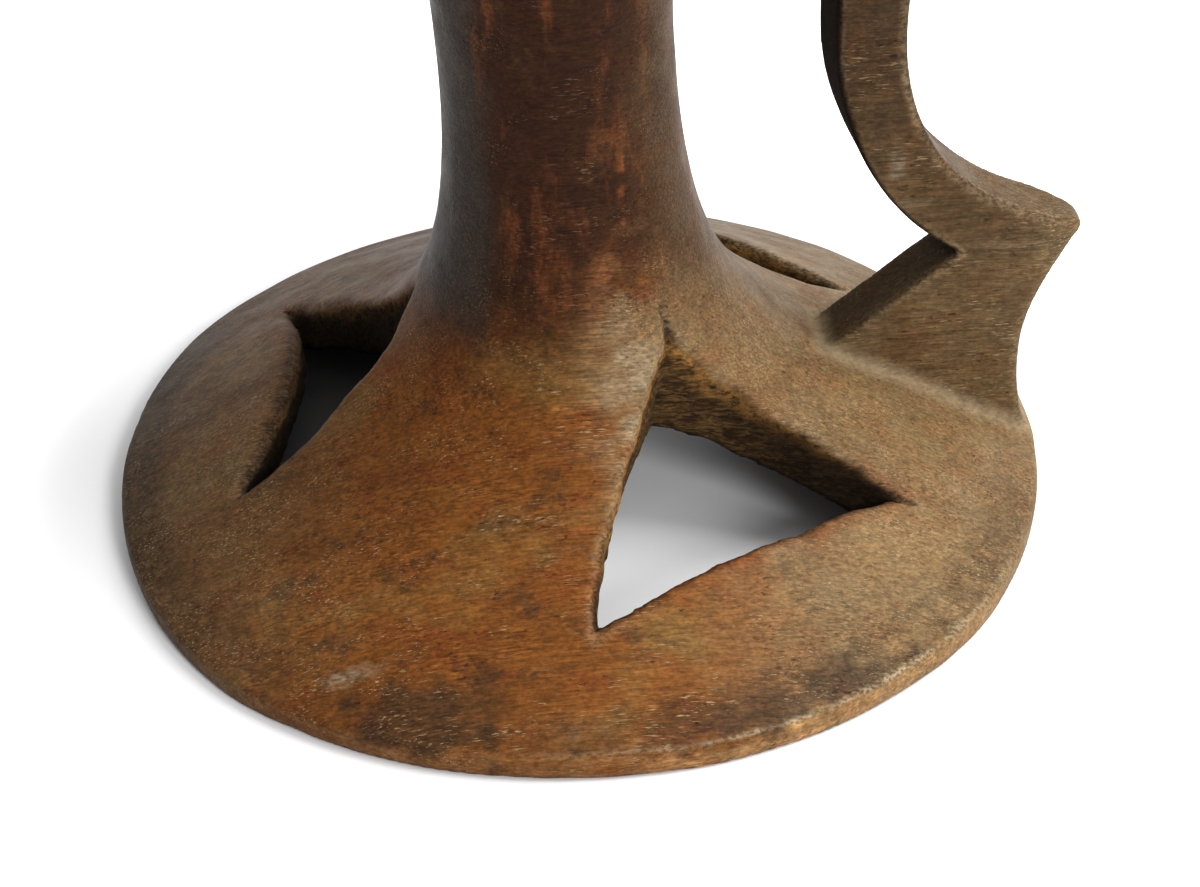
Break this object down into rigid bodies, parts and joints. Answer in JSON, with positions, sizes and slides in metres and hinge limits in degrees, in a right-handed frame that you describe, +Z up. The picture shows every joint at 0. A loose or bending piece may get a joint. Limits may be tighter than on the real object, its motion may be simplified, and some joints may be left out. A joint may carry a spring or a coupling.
{
  "type": "carved wooden headrest",
  "caption": "Carved wooden neck rest with a hollow pierced bell base, a waisted column, a crescent rest and a beaked side handle.",
  "frame": {"origin": "centre of the base's underside, on the surface that the headrest stands on", "axes": "+Z up, +X from the column's axis towards the handle and along the neck rest's long side"},
  "size_m": [0.168, 0.15, 0.16],
  "materials": {
    "base_wood": "hand-carved hardwood, orange-brown, rubbed to a satin patina, darker at the rim",
    "dark_wood": "hand-carved hardwood, dark grey-brown to reddish-brown patina, satin",
    "handle_wood": "hand-carved hardwood, olive-brown with fine pale flecks, satin"
  },
  "bodies": {
    "root": {"base_bell": "base_wood", "column": "dark_wood", "rest_capital": "dark_wood", "neck_rest": "base_wood", "handle_foot": "handle_wood", "handle_grip": "handle_wood", "handle_head": "handle_wood"}
  },
  "joints": []
}
